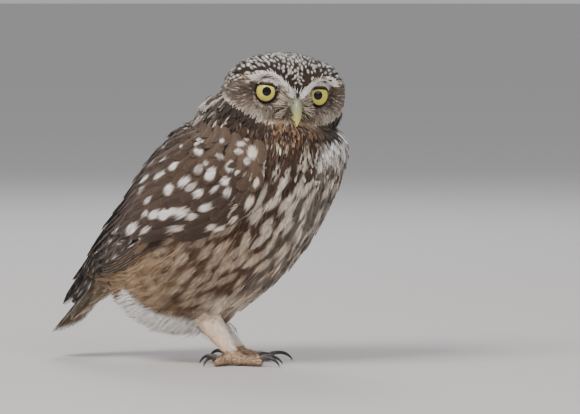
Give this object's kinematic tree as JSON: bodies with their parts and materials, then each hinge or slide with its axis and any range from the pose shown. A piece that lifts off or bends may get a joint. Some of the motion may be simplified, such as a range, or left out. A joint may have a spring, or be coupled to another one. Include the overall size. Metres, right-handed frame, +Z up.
{
  "type": "little owl model",
  "caption": "Life-size still model of a little owl standing with folded wings, its head turned to its right.",
  "frame": {"origin": "on the floor, under the middle of the bird's bounding box", "axes": "+X is ahead of the body, +Y is to the bird's left, +Z is up"},
  "size_m": [0.177, 0.0942, 0.1746],
  "materials": {
    "body_feathers": "soft whitish feathers with broad brown streaks",
    "head_feathers": "soft brown feathers with small pale spots",
    "wing_feathers": "smooth brown feathers with white spots",
    "tail_feathers": "smooth brown feathers with pale bars",
    "leg_feathers": "short buff-white down",
    "toes": "rough skin with bristles",
    "claws": "smooth dark horn",
    "bill": "smooth greenish-yellow horn",
    "eyes": "wet, with a yellow iris and a black pupil"
  },
  "bodies": {
    "root": {"torso": "body_feathers", "neck": "head_feathers", "head": "head_feathers", "bill_upper": "bill", "bill_lower": "bill", "eye_left": "eyes", "eye_right": "eyes", "wing_left": "wing_feathers", "wing_right": "wing_feathers", "tail": "tail_feathers", "thigh_left": "leg_feathers", "thigh_right": "leg_feathers", "tarsus_left": "leg_feathers", "tarsus_right": "leg_feathers", "foot_left": "toes", "foot_right": "toes", "claw_inner_left": "claws", "claw_middle_left": "claws", "claw_outer_left": "claws", "claw_hind_left": "claws", "claw_inner_right": "claws", "claw_middle_right": "claws", "claw_outer_right": "claws", "claw_hind_right": "claws"}
  },
  "joints": []
}
